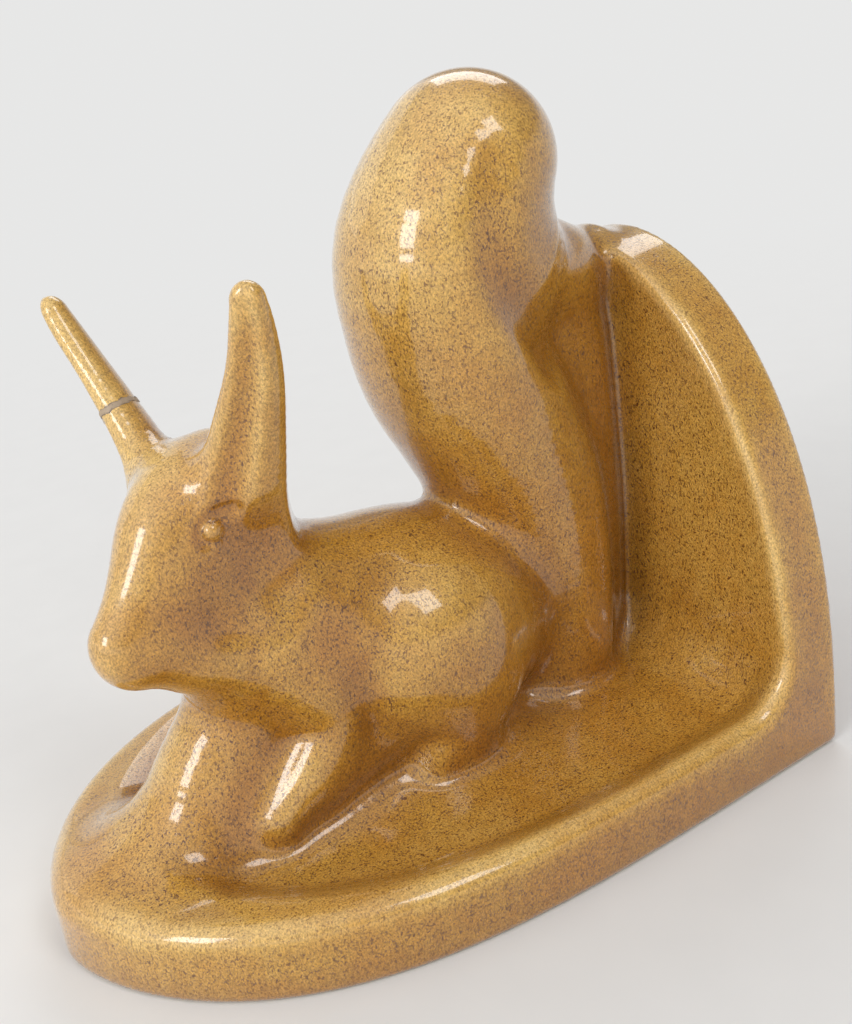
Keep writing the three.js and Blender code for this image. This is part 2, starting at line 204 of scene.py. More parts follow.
# The L of base plate and back slab, in mm. Its sizes are the CAD ones,
# and the rounding is what the glaze leaves.
bookendForm = {
    "length": 168.0,
    "width": 120.0,
    "baseThickness": 17.0,
    "slabHeight": 117.0,
    "slabThickness": 16.0,
    "baseFullness": (4.5, 1.6),
    "slabFullness": (2.5, 1.86),
    "baseEdgeRound": 4.5,    # along the rim of the base
    "slabEdgeRound": 2.4,    # along the crisper rim of the slab
    "backRound": 1.4,        # round the book face
    "footRound": 2.0,
    "cornerFillet": 13.0,    # where base turns up into slab
    "rimWidth": 2.0,
    "panDepth": 4.4,
    "panSlope": 11.0,        # width of the easy slope from the rim down to the hollowed base
    "panRise": 0.45,         # share of the depth that is lost again towards the middle
    "panRiseFrom": 14.0,
    "panRiseOver": 24.0,
    "panFrontMargin": 14.0,
    "dishDepth": 3.2,        # of the slab's face
    "dishSlope": 24.0,
    "ventsAhead": (22.0, 87.0),  # air holes in the underside, from the corner of the L
    "ventRadius": 1.8,
    "ventDepth": 12.0,
}
backX = bookendForm["length"] / 2
cornerX = backX - bookendForm["slabThickness"]  # the squirrel is measured from the L's inner corner
cornerZ = bookendForm["baseThickness"]


def tongueOutline(reach, halfWidth, fullness, steps=70):
    distance = reach * np.sin(np.linspace(0.0, 1.0, steps) * math.pi / 2)
    half = halfWidth * np.clip(1.0 - (distance / reach) ** fullness[0], 0.0, 1.0) ** (1.0 / fullness[1])
    half[-1] = 0.0
    upper = np.stack([distance, half], 1)
    beyond = 40.0  # the straight sides run on past the flat end, which another face cuts
    outline = np.vstack([upper, upper[-2::-1] * (1, -1)])
    return np.vstack([(-beyond, halfWidth), outline, (-beyond, -halfWidth)])


def outlineDistance(outline, u, v):
    # signed distance in the plane to a closed outline, on the grid of u by v
    pu, pv = np.meshgrid(u, v, indexing="ij")
    nearest = np.full(pu.shape, np.inf)
    point, level = 1e-9, 1e-12  # edges shorter or flatter than this
    inside = np.zeros(pu.shape, dtype=bool)
    for a, b in zip(outline, np.roll(outline, -1, axis=0)):
        edge = b - a
        share = np.clip(((pu - a[0]) * edge[0] + (pv - a[1]) * edge[1]) / (edge @ edge + point), 0.0, 1.0)
        nearest = np.minimum(nearest, np.hypot(pu - a[0] - share * edge[0], pv - a[1] - share * edge[1]))
        crosses = (a[1] > pv) != (b[1] > pv)
        slope = edge[0] / (edge[1] if abs(edge[1]) > level else level)
        inside ^= crosses & (pu < a[0] + (pv - a[1]) * slope)
    return np.where(inside, -nearest, nearest).astype(np.float32)


def planGap(space, inset, frontMargin):
    x, y, z = space["axes"]
    form = bookendForm
    plan = tongueOutline(form["length"] - frontMargin, form["width"] / 2 - inset, form["baseFullness"])
    return outlineDistance(plan * (-1, 1) + (backX, 0), x, y)[:, :, None]


def archGap(space):
    x, y, z = space["axes"]
    arch = tongueOutline(bookendForm["slabHeight"], bookendForm["width"] / 2, bookendForm["slabFullness"])
    return outlineDistance(arch[:, ::-1], y, z)[None, :, :]


def hollowedFaces(space, arch):
    # the base is hollowed inside a rolled rim, the slab is dished right up to its edge
    form = bookendForm
    x, y, z = openAxes(space["axes"])
    inward = -planGap(space, form["rimWidth"], form["panFrontMargin"])
    rise = form["panRise"] * easeStep((inward - form["panRiseFrom"]) / form["panRiseOver"])
    pan = form["panDepth"] * easeStep(inward / form["panSlope"]) * (1.0 - rise)
    dish = form["dishDepth"] * (1.0 - (1.0 - np.clip(-arch / form["dishSlope"], 0.0, 1.0)) ** 2)
    return roundUnion(z - cornerZ + pan, cornerX + dish - x, form["cornerFillet"])


def trimmedBookend(space, faces, walls):
    x, y, z = openAxes(space["axes"])
    form = bookendForm
    edgeRound = np.interp(z, (cornerZ, 2 * cornerZ), (form["baseEdgeRound"], form["slabEdgeRound"]))
    skin = roundMeet(faces, walls, edgeRound.astype(np.float32))
    return roundMeet(skin, x - backX, form["backRound"])


def trimmedFoot(space, skin):
    x, y, z = openAxes(space["axes"])
    skin = roundMeet(skin, -z, bookendForm["footRound"])
    for ahead in bookendForm["ventsAhead"]:
        hole = np.maximum(np.hypot(x - cornerX + ahead, y) - bookendForm["ventRadius"],
                          z - bookendForm["ventDepth"])
        skin = np.maximum(skin, -hole)
    return skin


# The squirrel. ahead and up are measured from the corner of the L, side from the middle plane.
# Middle sections are rows of ahead, up, half-width, half-depth. Limb sections have side after ahead.

def inCorner(ahead, side, up):
    return (cornerX - ahead, side, cornerZ + up)


def middleSweep(form, startCap=None):
    stations = [(*inCorner(ahead, 0.0, up), wide, deep) for ahead, up, wide, deep in form["sections"]]
    return sweepForm(stations, (0, 1, 0), form["cap"] if startCap is None else startCap, form["cap"])


def limbSweep(form, hand):
    stations = [(*inCorner(ahead, hand * side, up), wide, deep)
                for ahead, side, up, wide, deep in form["sections"]]
    return sweepForm(stations, (0, 1, 0), form["cap"], form["cap"])


tailForm = {
    "sections": [(23, -10, 18, 16), (22, 8, 19, 17), (22, 28, 20, 18), (25.5, 50, 21.5, 19.5),
                 (33, 68, 23, 20), (38.4, 79, 23.5, 20), (40.2, 91, 24, 20.8), (39, 106, 23, 22),
                 (29.6, 122, 20.5, 18.8), (17.5, 136, 14, 14)],
    "cap": 15,
    "blend": 5,
}
tailLobeForm = {
    "sections": [(28, 105, 18, 12), (19, 97.5, 15.5, 11), (9.5, 95.5, 11.5, 9.5), (0, 95.5, 7.5, 7),
                 (-8, 96, 5.5, 6)],
    "cap": 5,
    "blend": 10,
}
tailWebForm = {
    "sections": [(7, -6, 8, 9), (6, 30, 10.5, 9), (7, 52, 11.5, 10), (9, 68, 12, 12), (11, 82, 12, 13.5),
                 (13.5, 92, 12, 13), (17, 101, 12, 11)],
    "cap": 4,
    "blend": 6,
}
tailGrooveForm = {
    "sections": [(37, 24, 130, 4, 4), (41, 27, 116, 4.5, 4.5), (40.5, 27.5, 104, 5, 5),
                 (35.5, 26.5, 96, 5, 5), (28.5, 24, 88, 4.5, 4.5), (22, 20, 80, 4, 4)],
    "cap": 4,
    "blend": 6,
}

moundForm = {
    "sections": [(44, -5, 17, 10), (60, -4, 18, 10), (78, -4, 17, 10), (96, -5, 15, 10), (111, -9, 12, 8)],
    "cap": 8,
    "baseBlend": 15,
}
trunkForm = {
    "sections": [(37, 18, 17, 19), (46, 22, 22, 25), (59, 24.5, 24, 27.7), (73, 27.2, 22.5, 27.6),
                 (86, 31.4, 18.5, 25), (97, 33, 16, 21.5), (109, 32, 13, 16)],
    "cap": 11,
}
neckForm = {
    "sections": [(80, 30, 18, 18), (90, 41, 17, 16), (100, 54, 14.5, 13.5), (105, 62, 13, 12)],
    "cap": 8,
    "blend": 8,
}
bellyForm = {
    "sections": [(50, 8, 15, 14), (66, 8, 16, 14), (80, 7, 15, 14), (93, 4, 14, 13), (106, 0, 13, 11)],
    "cap": 8,
    "blend": 7,
}
chestForm = {
    "sections": [(92, 14, 11, 16), (106, 10.5, 12, 16.5), (117, 1, 13, 14), (129, -6, 15, 11.5),
                 (142, -10.5, 17, 7)],
    "cap": 6,
    "blend": 8,
    "baseBlend": 13,
}
haunchForm = {"centre": (62, 14.5, 25), "radii": (23, 15, 21), "blend": 5}
thighForm = {
    "sections": [(59, 15, 22, 13, 15), (60, 15.5, 12, 12, 12), (62, 16, 3, 8, 9)],
    "cap": 5,
    "blend": 6,
}
forelegForm = {
    "sections": [(98, 9, 43, 7, 8), (94, 12.5, 31, 7.5, 8), (91, 14.8, 19, 6.2, 6.6),
                 (100.5, 16, 8.6, 4.5, 4.7), (110, 16, 1.4, 3.6, 3.3)],
    "cap": 4,
    "blend": 5,
}
elbowForm = {
    "sections": [(72, 12.5, 12, 7, 8), (82, 13.5, 11, 6.5, 7.5), (92, 14.5, 9, 5.5, 6.5),
                 (101, 15.5, 6, 4.5, 5)],
    "cap": 5,
    "blend": 5,
}
hindFootForm = {
    "sections": [(54, 16, 3, 6, 5), (64, 19, 4, 6.5, 5.5), (74, 19, 4, 5, 4.5)],
    "cap": 5,
    "blend": 3,
}
bodyBlend = 5.5  # of the squirrel into the L and the tail


def torsoField(space):
    torso = spread(space, sampled(space, middleSweep(trunkForm)))
    for hand in (leftSide, rightSide):
        ahead, side, up = haunchForm["centre"]
        haunch = ellipsoidForm(inCorner(ahead, hand * side, up), haunchForm["radii"])
        blendIn(torso, sampled(space, haunch), haunchForm["blend"])
        for form in (thighForm, elbowForm):
            blendIn(torso, sampled(space, limbSweep(form, hand)), form["blend"])
    for form in (neckForm, bellyForm, chestForm):
        blendIn(torso, sampled(space, middleSweep(form)), form["blend"])
    return torso


# The head has its own frame at the middle of the skull, turned on the neck

headForm = {
    "skull": (105, 67),
    "yaw": 15,
    "tilt": 6,
    "sections": [(-17, 0, 9, 11), (-8, 0.5, 12.5, 15.5), (1, -2.6, 12, 16.8), (9, -9.4, 9.9, 14.6),
                 (16, -13.8, 8, 11.6), (23, -17, 6.6, 8.8), (30.8, -19.6, 5, 6.4)],
    "backCap": 9,
    "noseCap": 7,
    "blend": 5.5,
    "throat": [(22, -16.5, 6, 5), (14.5, -22.5, 9, 7.5), (5, -28, 12, 9), (-5, -33, 14, 10)],
    "throatCap": 4,
    "throatBlend": 5,
    "crease": [(7.9, -2.4), (8.3, 0.6), (6.6, 2.8), (3.6, 3.2), (1.2, 3.2)],
    "creaseRadius": 1.5,     # the fold runs round the front and top of the eye
    "creaseDepth": 0.45,
    "creaseBlend": 1.8,
    "creaseCap": 1.0,
    "faceReach": (4.0, 24.0),  # distances from the middle plane between which the cheek is looked for
    "faceStep": 0.1,
    "cheekHollow": (0, 19, -9),
    "cheekHollowRadii": (9, 6.5, 10),
    "cheekBlend": 6,
}
earForm = {
    "sections": [(-4, 5, -8, 8, 5.5), (-2.8, 11.5, 4, 9, 6.2), (-3.2, 18.4, 17, 7.2, 4.9),
                 (-3, 24.8, 29, 5.4, 3.9), (-1.8, 28.9, 39, 4, 3.4), (-0.9, 30.7, 46.2, 2.6, 2.5)],
    "rootCap": 2,
    "cap": 4,
    "turn": 41,              # degrees that the broad side faces outward from straight ahead
    "blend": 8,
    "grooveShift": 0.2,      # of the half-width, towards the front edge
    "grooveWidth": 0.5,      # of the half-width
    "grooveDepth": 2.4,
    "grooveCap": 1.0,
    "grooveBlend": 2.0,
}
jointForm = {
    "along": 33.0,           # where the right ear broke off, from its root
    "thickness": 1.5,
    "proud": 0.14,           # how far the squeezed-out glue stands off the ear
    "ragged": 0.22,
    "raggedWaves": (2.7, 1.9),  # of the broken edge, along x and along y, in radians for each mm
}
eyeForm = {"centre": (5.4, 0.4), "radii": (2.3, 2.0, 2.1), "proud": 0.9, "blend": 0.5}

headTurn = Euler((-math.radians(headForm["tilt"]), 0.0, math.radians(headForm["yaw"]))).to_matrix()
headCentre = Vector(inCorner(headForm["skull"][0], 0.0, headForm["skull"][1]))
acrossHead = headTurn @ Vector((0.0, 1.0, 0.0))


def onHead(ahead, side, up):
    return tuple(headCentre + headTurn @ Vector((-ahead, side, up)))


def headField(space):
    skull = [(*onHead(ahead, 0.0, up), wide, deep) for ahead, up, wide, deep in headForm["sections"]]
    throat = [(*onHead(ahead, 0.0, up), wide, deep) for ahead, up, wide, deep in headForm["throat"]]
    cap = headForm["throatCap"]
    skullForm = sweepForm(skull, acrossHead, headForm["backCap"], headForm["noseCap"])
    head = spread(space, sampled(space, skullForm))
    blendIn(head, sampled(space, sweepForm(throat, acrossHead, cap, cap)), headForm["throatBlend"])
    return head


def onFace(space, skin, ahead, up, hand):
    # the point of the skin at this place on the side of the head
    sides = np.arange(*headForm["faceReach"], headForm["faceStep"])
    line = np.array([onHead(ahead, hand * side, up) for side in sides])
    return line[np.nonzero(readAt(space, line, skin) < 0)[0][-1]]


def shapeFace(space, skin, hand):
    outward = np.array(headTurn @ Vector((0.0, hand, 0.0)))
    ahead, side, up = headForm["cheekHollow"]
    hollow = ellipsoidForm(onHead(ahead, hand * side, up), headForm["cheekHollowRadii"], headTurn)
    carveOut(skin, sampled(space, hollow), headForm["cheekBlend"])
    radius, depth, cap = (headForm[name] for name in ("creaseRadius", "creaseDepth", "creaseCap"))
    fold = [onFace(space, skin, *place, hand) + outward * (radius - depth) for place in headForm["crease"]]
    crease = sweepForm([(*point, radius, radius) for point in fold], (0, 0, 1), cap, cap)
    carveOut(skin, sampled(space, crease), headForm["creaseBlend"])
    sunk = eyeForm["radii"][1] - eyeForm["proud"]
    bead = onFace(space, skin, *eyeForm["centre"], hand) - outward * sunk
    return sampled(space, ellipsoidForm(bead, eyeForm["radii"], headTurn))


def earStations(hand):
    return [(*onHead(ahead, hand * side, up), wide, deep)
            for ahead, side, up, wide, deep in earForm["sections"]]


def earSample(space, hand):
    turn = math.radians(earForm["turn"])
    broad = headTurn @ Vector((-math.sin(turn), -hand * math.cos(turn), 0.0))
    facing = headTurn @ Vector((-math.cos(turn), hand * math.sin(turn), 0.0))
    stations = earStations(hand)
    groove = []
    for i, (x, y, z, wide, deep) in enumerate(stations):
        radius = wide * earForm["grooveWidth"]
        sunk = earForm["grooveDepth"] * (1.0 - (i / (len(stations) - 1)) ** 2)
        middle = Vector((x, y, z)) + broad * wide * earForm["grooveShift"]
        middle = middle + facing * (deep + radius - sunk)
        groove.append((*middle, radius, radius))
    ear = sampled(space, sweepForm(stations, broad, earForm["rootCap"], earForm["cap"]))
    field = spread(space, ear)
    cap = earForm["grooveCap"]
    carveOut(field, sampled(space, sweepForm(groove, broad, cap, cap)), earForm["grooveBlend"])
    return {"window": ear["window"], "near": field[ear["window"]]}


def jointGap(space):
    # distance past the plane in which the right ear broke, towards its tip
    path = smoothPath(earStations(rightSide))[:, :3]
    lengths = pathLengths(path)
    step = 1.0
    before, after = (np.array([np.interp(jointForm["along"] + shift, lengths, column) for column in path.T])
                     for shift in (-step, step))
    along = (after - before) / np.linalg.norm(after - before)
    x, y, z = openAxes(space["axes"])
    middle = (before + after) / 2
    gap = (x - middle[0]) * along[0] + (y - middle[1]) * along[1] + (z - middle[2]) * along[2]
    waveX, waveY = jointForm["raggedWaves"]
    return gap + jointForm["ragged"] * (np.sin(waveY * y) + np.sin(waveX * x)) / 2


# All the castings, and the one skin of clay and glaze that runs over them

def castings(space):
    x, y, z = openAxes(space["axes"])
    fields = {}
    arch = archGap(space)
    walls = np.maximum(planGap(space, 0.0, 0.0), arch)
    faces = hollowedFaces(space, arch)
    bookend = trimmedBookend(space, faces, walls)
    overCorner = z - cornerZ - np.maximum(0.0, cornerX - x)
    fields["base_plate"] = np.maximum(bookend, overCorner)
    fields["back_slab"] = np.maximum(bookend, -overCorner)

    mound = sampled(space, middleSweep(moundForm))
    ground = faces.astype(np.float32)
    blendIn(ground, mound, moundForm["baseBlend"])
    blendIn(ground, sampled(space, middleSweep(chestForm)), chestForm["baseBlend"])
    skin = trimmedBookend(space, ground, walls)

    lobe, web = sampled(space, middleSweep(tailLobeForm)), sampled(space, middleSweep(tailWebForm))
    tail = sampled(space, middleSweep(tailForm, startCap=0.0))
    fields["tail"] = spread(space, lobe, web, tail)
    brush = spread(space, tail)
    for sample, form in ((lobe, tailLobeForm), (web, tailWebForm)):
        blendIn(brush, sample, form["blend"])
    skin = blended(skin, brush, tailForm["blend"])
    for hand in (leftSide, rightSide):
        carveOut(skin, sampled(space, limbSweep(tailGrooveForm, hand)), tailGrooveForm["blend"])

    squirrel = torsoField(space)
    fields["torso"] = np.minimum(squirrel, spread(space, mound))
    fields["head"] = headField(space)
    squirrel = blended(squirrel, fields["head"], headForm["blend"])
    for word, hand in (("left", leftSide), ("right", rightSide)):
        for limb, form in (("_foreleg", forelegForm), ("_hind_foot", hindFootForm)):
            sample = sampled(space, limbSweep(form, hand))
            fields[word + limb] = spread(space, sample)
            blendIn(squirrel, sample, form["blend"])
        ear = earSample(space, hand)
        fields[word + "_ear"] = spread(space, ear)
        blendIn(squirrel, ear, earForm["blend"])
        eye = shapeFace(space, squirrel, hand)
        fields[word + "_eye"] = spread(space, eye)
        blendIn(squirrel, eye, eyeForm["blend"])

    gap, half = jointGap(space), jointForm["thickness"] / 2
    brokenEar = fields.pop("right_ear")
    fields["right_ear_stub"] = np.maximum(brokenEar, gap + half)
    fields["right_ear_tip"] = np.maximum(brokenEar, half - gap)
    fields["ear_glue"] = np.maximum(brokenEar, np.abs(gap) - half)
    return fields, trimmedFoot(space, blended(skin, squirrel, bodyBlend))


# Relief of the skin: above zero on edges, where the glaze runs thin, and below zero in hollows,
# where it gathers; the darker tone the hollows get is partly that glaze and partly painted shade

reliefForm = {
    "nearby": 20.0,
    "scales": [  # reach in mm, difference that counts as full, share
        (2.4, 0.6, 0.55),
        (6.4, 1.6, 0.2),
        (16.0, 4.5, 0.12),
    ],
}


def softened(field, reach):
    # the mean over a box, taken twice along each axis
    width = 2 * reach + 1
    for axis in (0, 1, 2, 0, 1, 2):
        edges = [(0, 0)] * 3
        edges[axis] = (reach + 1, reach)
        total = np.cumsum(np.pad(field, edges, mode="edge"), axis=axis, dtype=np.float64)
        total = np.moveaxis(total, axis, 0)
        field = np.moveaxis((total[width:] - total[:-width]) / width, 0, axis).astype(np.float32)
    return field


def reliefOf(space, skin):
    # on every second sample, which is fine enough
    wide = {"cell": 2 * space["cell"], "low": space["low"]}
    near = np.clip(skin[::2, ::2, ::2], -reliefForm["nearby"], reliefForm["nearby"])
    relief = np.zeros_like(near)
    for reach, full, share in reliefForm["scales"]:
        smooth = softened(near, round(reach / wide["cell"]))
        relief += share * np.clip((smooth - near) / full, -1.0, 1.0)
    return {**wide, "shape": relief.shape, "values": relief}


# Each casting is cut out of the whole skin where it is the nearest one. A casting that is luted on keeps
# its edge, and what carries it runs on a little underneath, a hair lower, so that no gap shows.

pieceOrder = ["left_eye", "right_eye", "ear_glue", "right_ear_tip", "right_ear_stub", "left_ear", "head",
              "left_foreleg", "right_foreleg", "left_hind_foot", "right_hind_foot", "torso", "tail",
              "back_slab", "base_plate"]
seamForm = {"overlap": 2.4, "sink": 0.06, "ease": 3.0}  # mm


def nearestOf(fields, names, window):
    nearest = np.full(fields["torso"][window].shape, farAway, dtype=np.float32)
    for name in names:
        nearest = np.minimum(nearest, fields[name][window])
    return nearest


def boxOf(inside, margin):
    box = []
    for axis in range(3):
        filled = np.nonzero(inside.any(axis=tuple({0, 1, 2} - {axis})))[0]
        box.append(slice(max(0, filled[0] - margin), filled[-1] + margin + 1))
    return tuple(box)


def pieceField(name, fields, skin):
    rank = pieceOrder.index(name)
    window = boxOf(fields[name] < seamForm["overlap"], boxMargin)
    own = fields[name][window]
    above = nearestOf(fields, pieceOrder[:rank], window)
    below = nearestOf(fields, pieceOrder[rank + 1:], window)
    cover = skin[window] + seamForm["sink"] * easeStep((own - above) / seamForm["ease"] + 1.0)
    if name == "ear_glue":
        cover = cover - jointForm["proud"]
    piece = np.full(skin.shape, farAway, dtype=np.float32)
    piece[window] = np.maximum(cover, own - np.minimum(below, above + seamForm["overlap"]))
    return piece


def glazedPiece(name, field, space, slopes, markName, marks):
    window = boxOf(field < 0, boxMargin)
    first = [part.start for part in window]
    grid = openvdb.FloatGrid(background=farAway)
    grid.copyFromArray(np.ascontiguousarray(field[window]))
    points, quads = grid.convertToQuads(isovalue=0.0)
    points = (points + first) * space["cell"] + space["low"]

    mesh = bpy.data.meshes.new(name)
    mesh.from_pydata((points * mm).tolist(), [], quads.tolist())
    mesh.shade_smooth()
    normals = np.stack([readAt(space, points, slope) for slope in slopes], 1)
    normals = normals / np.linalg.norm(normals, axis=1, keepdims=True)
    mesh.normals_split_custom_set_from_vertices(normals.tolist())
    attribute = mesh.attributes.new(markName, "FLOAT", "POINT")
    attribute.data.foreach_set("value", readAt(marks, points, marks["values"]).astype(np.float32))
    piece = bpy.data.objects.new(name, mesh)
    bpy.context.scene.collection.objects.link(piece)
    print(name, len(points), "points")
    return piece


pieces = {}
zones = [  # the head is small, so it is sampled more finely
    {"low": (-90, -66, -5), "high": (90, 66, 165), "cell": 0.8,
     "nodes": ["base_plate", "back_slab", "torso", "tail", "left_foreleg", "right_foreleg",
               "left_hind_foot", "right_hind_foot"]},
    {"low": (-72, -40, 40), "high": (-6, 44, 138), "cell": 0.5,
     "nodes": ["head", "left_ear", "right_ear_stub", "right_ear_tip", "ear_glue", "left_eye", "right_eye"]},
]
for zone in zones:
    space = sampledSpace(zone["low"], zone["high"], zone["cell"])
    fields, skin = castings(space)
    slopes = np.gradient(skin)
    relief = reliefOf(space, skin)
    print("castings sampled at", zone["cell"], "mm")
    for node in zone["nodes"]:
        markName, marks = "relief", relief
        if node == "ear_glue":
            across = np.abs(jointGap(space)) / jointForm["thickness"] * 2
            markName, marks = "across", {**space, "values": across}
        field = pieceField(node, fields, skin)
        piece = glazedPiece("glazed_" + node, field, space, slopes, markName, marks)
        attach(piece, "root")
        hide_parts(node)
        pieces[node] = piece


# Shader nodes

def addNode(tree, kind, inputs=None, **settings):
    node = tree.nodes.new(kind)
    for name, value in settings.items():
        setattr(node, name, value)
    for name, value in (inputs or {}).items():
        if isinstance(value, bpy.types.NodeSocket):
            tree.links.new(value, node.inputs[name])
        else:
            node.inputs[name].default_value = value
    return node


def calculated(tree, operation, *values):
    node = addNode(tree, "ShaderNodeMath", dict(enumerate(values)), operation=operation)
    return node.outputs[0]


def mapped(tree, value, fromLow, fromHigh, toLow, toHigh):
    node = addNode(tree, "ShaderNodeMapRange", {"Value": value, "From Min": fromLow, "From Max": fromHigh,
                                                "To Min": toLow, "To Max": toHigh})
    return node.outputs[0]


def tinted(tree, share, first, second, blend="MIX"):
    factor, a, b = 0, 6, 7  # the Mix node's colour sockets
    node = addNode(tree, "ShaderNodeMix", {factor: share, a: first, b: second},
                   data_type="RGBA", blend_type=blend)
    return node.outputs[2]


def noisy(tree, vector, scale, detail, roughness=0.5):
    node = addNode(tree, "ShaderNodeTexNoise", {"Vector": vector, "Scale": scale, "Detail": detail,
                                                "Roughness": roughness})
    return node.outputs["Fac"]


def opaque(colour):
    return (*colour, 1.0)


speckleForm = {"detail": 1.0, "roughness": 0.6, "rare": 0.78, "softEdge": 0.07}


def speckleGroup():
    # irregular grains of iron that bleed through a glaze, or of dirt on anything else
    tree = bpy.data.node_groups.new("speckle", "ShaderNodeTree")
    for name, kind in (("Vector", "Vector"), ("Scale", "Float"), ("Amount", "Float")):
        tree.interface.new_socket(name, in_out="INPUT", socket_type="NodeSocket" + kind)
    tree.interface.new_socket("Mask", in_out="OUTPUT", socket_type="NodeSocketFloat")
    given = tree.nodes.new("NodeGroupInput")
    result = tree.nodes.new("NodeGroupOutput")
    grains = noisy(tree, given.outputs["Vector"], given.outputs["Scale"], speckleForm["detail"],
                   speckleForm["roughness"])
    start = calculated(tree, "SUBTRACT", speckleForm["rare"], given.outputs["Amount"])
    end = calculated(tree, "ADD", start, speckleForm["softEdge"])
    tree.links.new(mapped(tree, grains, start, end, 0.0, 1.0), result.inputs["Mask"])
    return tree


speckle = speckleGroup()


def speckled(tree, vector, scale, amount):
    node = addNode(tree, "ShaderNodeGroup", {"Vector": vector, "Scale": scale, "Amount": amount},
                   node_tree=speckle)
    return node.outputs["Mask"]


glazeLook = {
    "ramp": [  # from the deepest hollow to the sharpest edge
        (0.0, (0.18, 0.058, 0.006)),
        (0.26, (0.30, 0.114, 0.011)),
        (0.46, (0.42, 0.192, 0.025)),
        (0.64, (0.53, 0.280, 0.046)),
        (0.82, (0.64, 0.378, 0.086)),
        (1.0, (0.74, 0.485, 0.155)),
    ],
    "reliefRange": (-0.95, 1.3),       # relief at the two ends of the ramp
    "hollowShare": 0.2,                # hollows count for less than edges
    "amber": (0.45, 0.178, 0.018),     # broad clouds of a warmer tone
    "speck": (0.13, 0.048, 0.009),
    "footTone": (0.30, 0.120, 0.022),  # where the glaze gathers along the foot
    "bareClay": (0.52, 0.42, 0.31),    # the wiped underside
    "clouds": {"scale": 34.0, "detail": 3.0},
    "cloudRange": (0.42, 0.68),
    "cloudShare": 0.5,
    "mottle": {"scale": 260.0, "detail": 4.0, "roughness": 0.62},
    "mottleShare": 0.8,
    "grain": {"scale": 2600.0, "detail": 2.0, "roughness": 0.6},
    "grainRange": (0.3, 0.7),
    "grainShade": (0.62, 1.36),        # darkest and palest grain, as a factor
    "speckScale": 2100.0,
    "speckAmount": 0.20,
    "speckShare": 0.8,
    "spotScale": 1400.0,
    "spotAmount": 0.14,
    "edgeRelief": (0.2, 0.9),          # where the specks get fewer
    "edgeSpecks": 0.35,
    "stretch": (1.0, 1.0, 0.7),        # grains run a little downhill
    "thinner": 0.1,                    # how much paler the top is than the foot
    "thinnerHeights": (0.03, 0.13),    # m
    "paintedLightFrom": (-0.72, 0.1, 0.69),      # painted light: faces turned this way, up and forward, are drawn paler, as if lit from there
    "paintedLightRange": (-0.2, 1.0),
    "paintedLightTone": (-0.24, 0.84),
    "footHeights": (0.003, 0.010),     # m, where the glaze gathers
    "footWander": 0.004,
    "footShare": 0.75,
    "bareHeights": (0.0004, 0.0012),   # m, up to which the foot is wiped
    "bareRoughness": 0.6,
    "roughness": 0.2,
    "roughSpread": 0.12,
    "coatRoughness": 0.06,
    "grainWaves": 0.25,
    "bumpStrength": 0.35,
    "bumpDepth": 0.00012,
}


